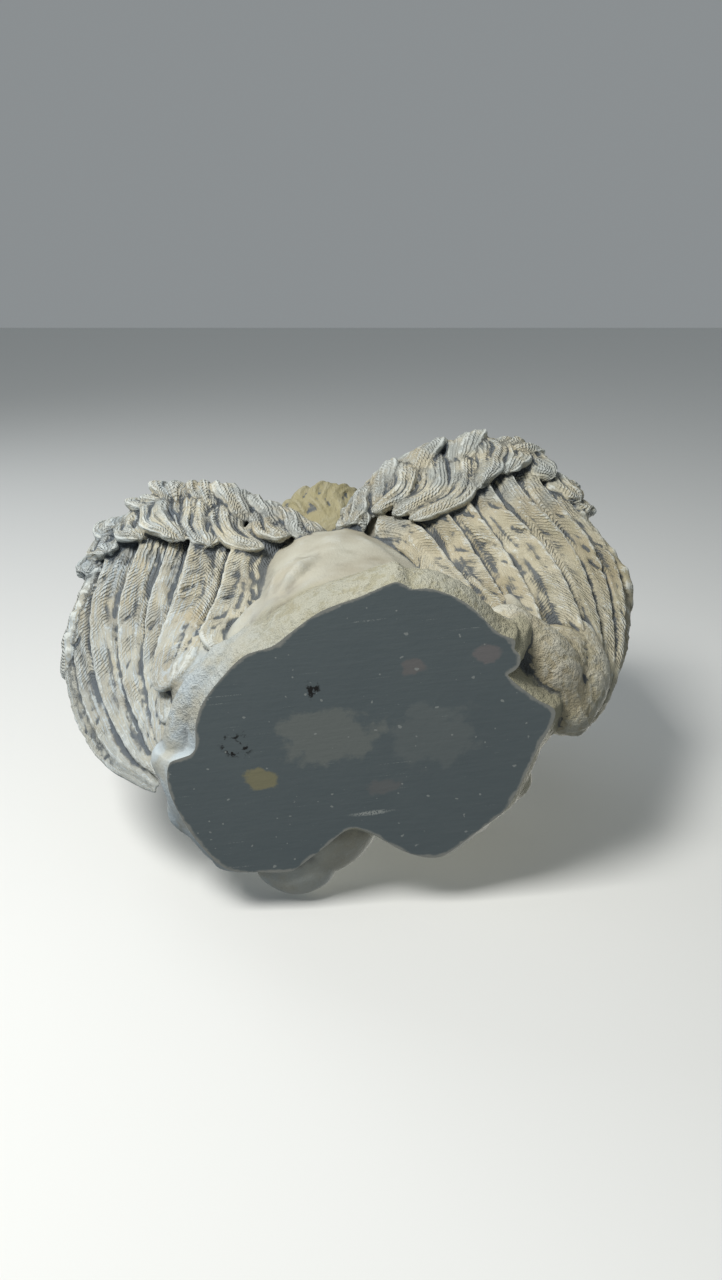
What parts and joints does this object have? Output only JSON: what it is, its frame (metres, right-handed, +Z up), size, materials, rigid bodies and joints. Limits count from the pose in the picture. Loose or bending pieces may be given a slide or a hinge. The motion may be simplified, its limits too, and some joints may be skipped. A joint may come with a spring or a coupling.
{
  "type": "angel sculpture",
  "caption": "Winged angel in a long robe, kneeling in prayer on a flat underside, cast in one piece and painted as weathered stone.",
  "frame": {"origin": "on the flat underside, on the line from the notch between the knees to the middle of the back", "axes": "+X to the angel's left, along the wingspan; -Y the way that the angel faces; +Z up from the underside to the head"},
  "size_m": [0.2866, 0.1699, 0.2256],
  "materials": {
    "painted_cast": "matt weathered paint over a cast, slate grey paint on the underside"
  },
  "bodies": {
    "root": {"angel": "painted_cast"}
  },
  "joints": []
}
